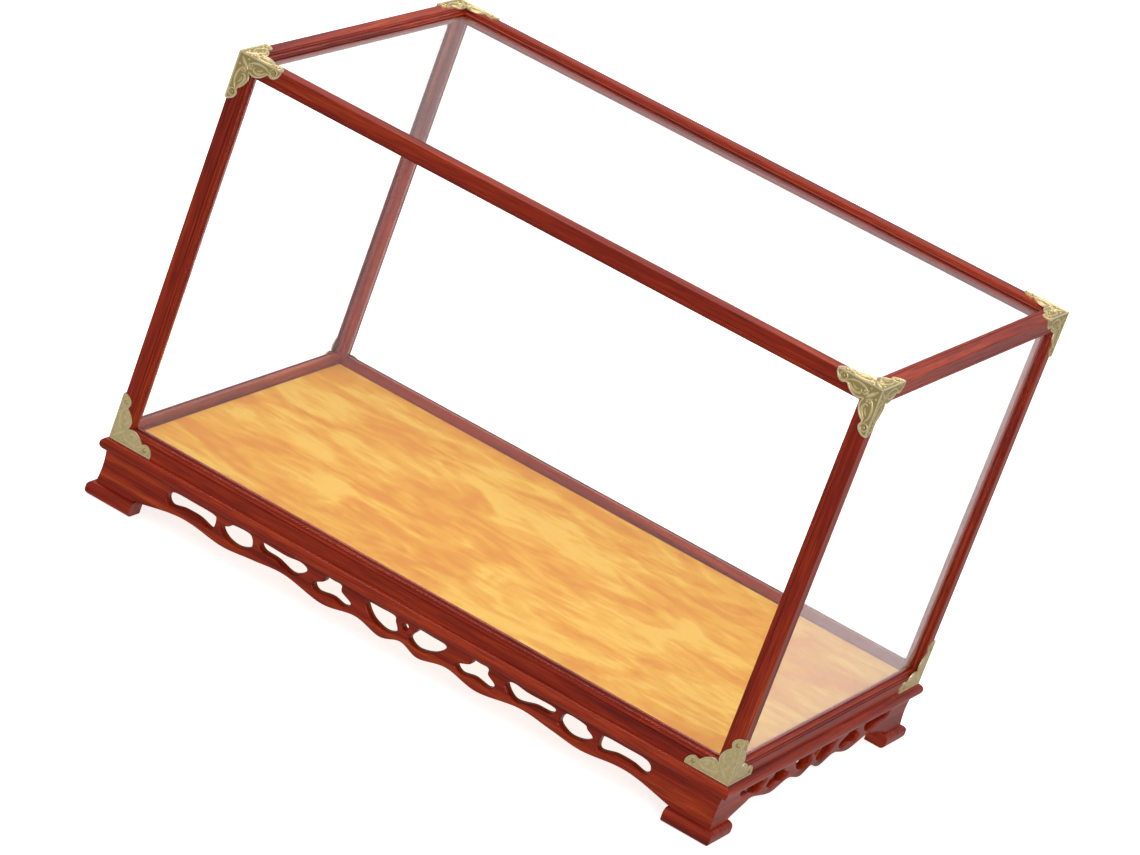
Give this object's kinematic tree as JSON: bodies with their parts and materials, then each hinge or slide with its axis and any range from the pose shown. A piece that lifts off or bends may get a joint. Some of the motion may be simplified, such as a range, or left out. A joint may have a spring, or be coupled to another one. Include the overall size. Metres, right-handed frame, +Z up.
{
  "type": "tabletop display case",
  "caption": "Glazed hardwood cover with brass corners that lifts off a low carved base with a velvet-lined floor.",
  "frame": {"origin": "middle of the case's footprint, on the surface that it stands on", "axes": "+X along the length to the viewer's right, +Y from front to back, +Z up"},
  "size_m": [0.5074, 0.3074, 0.3347],
  "materials": {
    "rosewood": "red-brown lacquered hardwood, satin",
    "softwood": "planed, unfinished",
    "plywood": "plain board, unfinished",
    "velvet": "golden orange velvet, brushed",
    "steel": "bright zinc-plated",
    "glass": "clear float glass, polished",
    "brass": "stamped sheet, pale antique lacquer",
    "brass_pin": "polished dome heads"
  },
  "bodies": {
    "base": {"base_rail_front": "rosewood", "base_rail_back": "rosewood", "base_rail_left": "rosewood", "base_rail_right": "rosewood", "apron_front": "rosewood", "apron_back": "rosewood", "apron_left": "rosewood", "apron_right": "rosewood", "foot_pad_front_left": "rosewood", "foot_pad_front_right": "rosewood", "foot_pad_back_left": "rosewood", "foot_pad_back_right": "rosewood", "corner_block_front_left": "softwood", "corner_block_front_right": "softwood", "corner_block_back_left": "softwood", "corner_block_back_right": "softwood", "batten_left": "softwood", "batten_right": "softwood", "floor_board": "plywood", "floor_lining": "velvet", "floor_screws": "steel"},
    "cover": {"post_front_left": "rosewood", "post_front_right": "rosewood", "post_back_left": "rosewood", "post_back_right": "rosewood", "top_rail_front": "rosewood", "top_rail_back": "rosewood", "top_rail_left": "rosewood", "top_rail_right": "rosewood", "bottom_rail_front": "rosewood", "bottom_rail_back": "rosewood", "bottom_rail_left": "rosewood", "bottom_rail_right": "rosewood", "pane_front": "glass", "pane_back": "glass", "pane_left": "glass", "pane_right": "glass", "pane_top": "glass", "top_corner_front_left": "brass", "top_corner_front_right": "brass", "top_corner_back_left": "brass", "top_corner_back_right": "brass", "bottom_corner_front_left": "brass", "bottom_corner_front_right": "brass", "bottom_corner_back_left": "brass", "bottom_corner_back_right": "brass", "corner_pins": "brass_pin"}
  },
  "joints": [
    {"name": "cover_lift", "type": "slide", "parent": "base", "child": "cover", "axis": [0, 0, 1], "range_m": [0, 0.3]}
  ]
}
